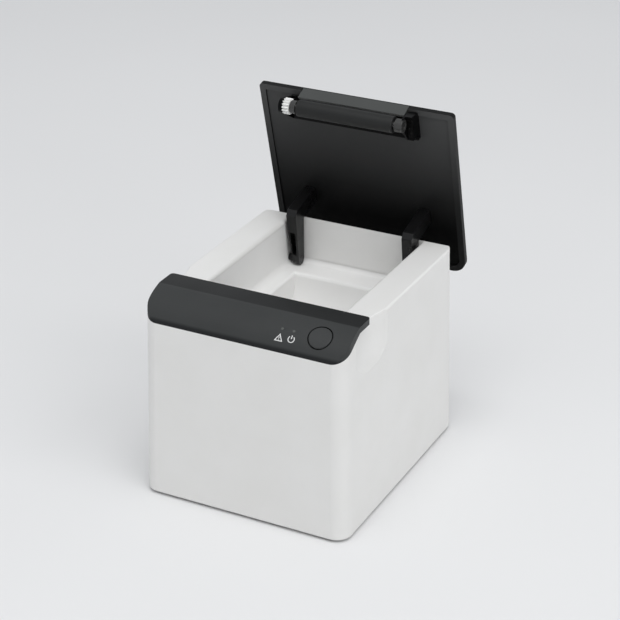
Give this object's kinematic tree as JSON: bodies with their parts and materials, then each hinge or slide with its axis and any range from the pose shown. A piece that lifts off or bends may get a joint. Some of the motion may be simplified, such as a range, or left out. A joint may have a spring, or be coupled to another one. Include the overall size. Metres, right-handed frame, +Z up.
{
  "type": "receipt printer",
  "caption": "Desk-top thermal receipt printer with a drop-in paper bay, hinged lid carrying the platen, gear drive, sprung print head, feed button and back sockets.",
  "frame": {"origin": "on the standing surface, under the middle of the whole object with its lid open", "axes": "+X to the printer's right, +Y to its back, +Z up"},
  "size_m": [0.1146, 0.1536, 0.1815],
  "materials": {
    "white_plastic": "fine matt moulded",
    "foot_rubber": "matt",
    "screw_steel": "zinc plated",
    "panel_plastic": "satin",
    "button_plastic": "satin",
    "black_plastic": "matt",
    "board_laminate": "solder resist",
    "clear_plastic": "clear",
    "lid_plastic": "fine matt moulded",
    "lip_plastic": "satin",
    "shaft_steel": "ground",
    "platen_rubber": "ground matt",
    "gear_plastic": "as moulded",
    "bush_plastic": "as moulded",
    "frame_plastic": "as moulded",
    "head_ceramic": "glazed",
    "sink_aluminium": "milled",
    "motor_steel": "plated",
    "pinion_brass": "hobbed",
    "capacitor_sleeve": "shrunk sleeve",
    "ivory_plastic": "as moulded",
    "ribbon_film": "polyimide film"
  },
  "bodies": {
    "body": {"upper_case": "white_plastic", "base_cover": "white_plastic", "rubber_feet": "foot_rubber", "base_screws": "screw_steel", "paper_bucket": "white_plastic", "front_panel": "panel_plastic", "feed_switch": "black_plastic", "panel_board": "board_laminate", "panel_screws": "screw_steel", "status_lights": "clear_plastic", "hinge_pins": "shaft_steel", "print_frame": "frame_plastic", "frame_screws": "screw_steel", "paper_sensor": "black_plastic", "tear_bar": "shaft_steel", "head_pin": "shaft_steel", "head_springs": "shaft_steel", "stepper_motor": "motor_steel", "gear_axle": "shaft_steel", "main_board": "board_laminate", "board_screws": "screw_steel", "control_chip": "black_plastic", "bulk_capacitor": "capacitor_sleeve", "board_connectors": "ivory_plastic", "head_ribbon": "ribbon_film", "panel_ribbon": "ribbon_film", "usb_socket": "motor_steel", "drawer_socket": "black_plastic", "power_socket": "black_plastic", "power_switch": "black_plastic"},
    "lid": {"lid_cover": "lid_plastic", "lid_liner": "lid_plastic", "exit_lip": "lip_plastic", "platen_bracket": "lid_plastic", "lid_screws": "screw_steel", "hinge_arm_left": "black_plastic", "hinge_arm_right": "black_plastic", "platen_bushes": "bush_plastic"},
    "platen": {"platen_roller": "platen_rubber", "platen_shaft": "shaft_steel", "platen_gear": "gear_plastic"},
    "reducer": {"reduction_gear": "gear_plastic"},
    "motor_rotor": {"motor_shaft": "shaft_steel", "motor_pinion": "pinion_brass"},
    "head": {"print_head": "head_ceramic", "head_heatsink": "sink_aluminium"},
    "button": {"feed_button": "button_plastic", "switch_plunger": "black_plastic"},
    "rocker": {"power_rocker": "black_plastic"}
  },
  "joints": [
    {"name": "lid_hinge", "type": "hinge", "parent": "body", "child": "lid", "pos_m": [0, 0.04947, 0.0841], "axis": [1, 0, 0], "range_deg": [0, 75.2]},
    {"name": "platen_spin", "type": "hinge", "parent": "lid", "child": "platen", "pos_m": [0, 0.03943, 0.17454], "axis": [1, 0, 0], "continuous": true},
    {"name": "reducer_spin", "type": "hinge", "parent": "body", "child": "reducer", "pos_m": [0, -0.0416, 0.09033], "axis": [1, 0, 0], "continuous": true},
    {"name": "motor_spin", "type": "hinge", "parent": "body", "child": "motor_rotor", "pos_m": [0, -0.04269, 0.07788], "axis": [1, 0, 0], "continuous": true},
    {"name": "feed_button_press", "type": "slide", "parent": "body", "child": "button", "axis": [0, 0.5604, -0.8282], "range_m": [0, 0.0008], "stiffness_N_per_m": 1200, "springref_m": -0.0006},
    {"name": "head_pivot", "type": "hinge", "parent": "body", "child": "head", "pos_m": [0, -0.04778, 0.0892], "axis": [1, 0, 0], "range_deg": [0, 4], "stiffness_Nm_per_rad": 0.25, "springref_deg": -17.19, "deforming": ["head_springs"]},
    {"name": "power_rocker_tilt", "type": "hinge", "parent": "body", "child": "rocker", "pos_m": [0, 0.05627, 0.0246], "axis": [1, 0, 0], "range_deg": [0, 20]}
  ],
  "couplings": [
    {"joint": "reducer_spin", "follows": "platen_spin", "ratio": -1.0714},
    {"joint": "motor_spin", "follows": "platen_spin", "ratio": 2.2768}
  ]
}
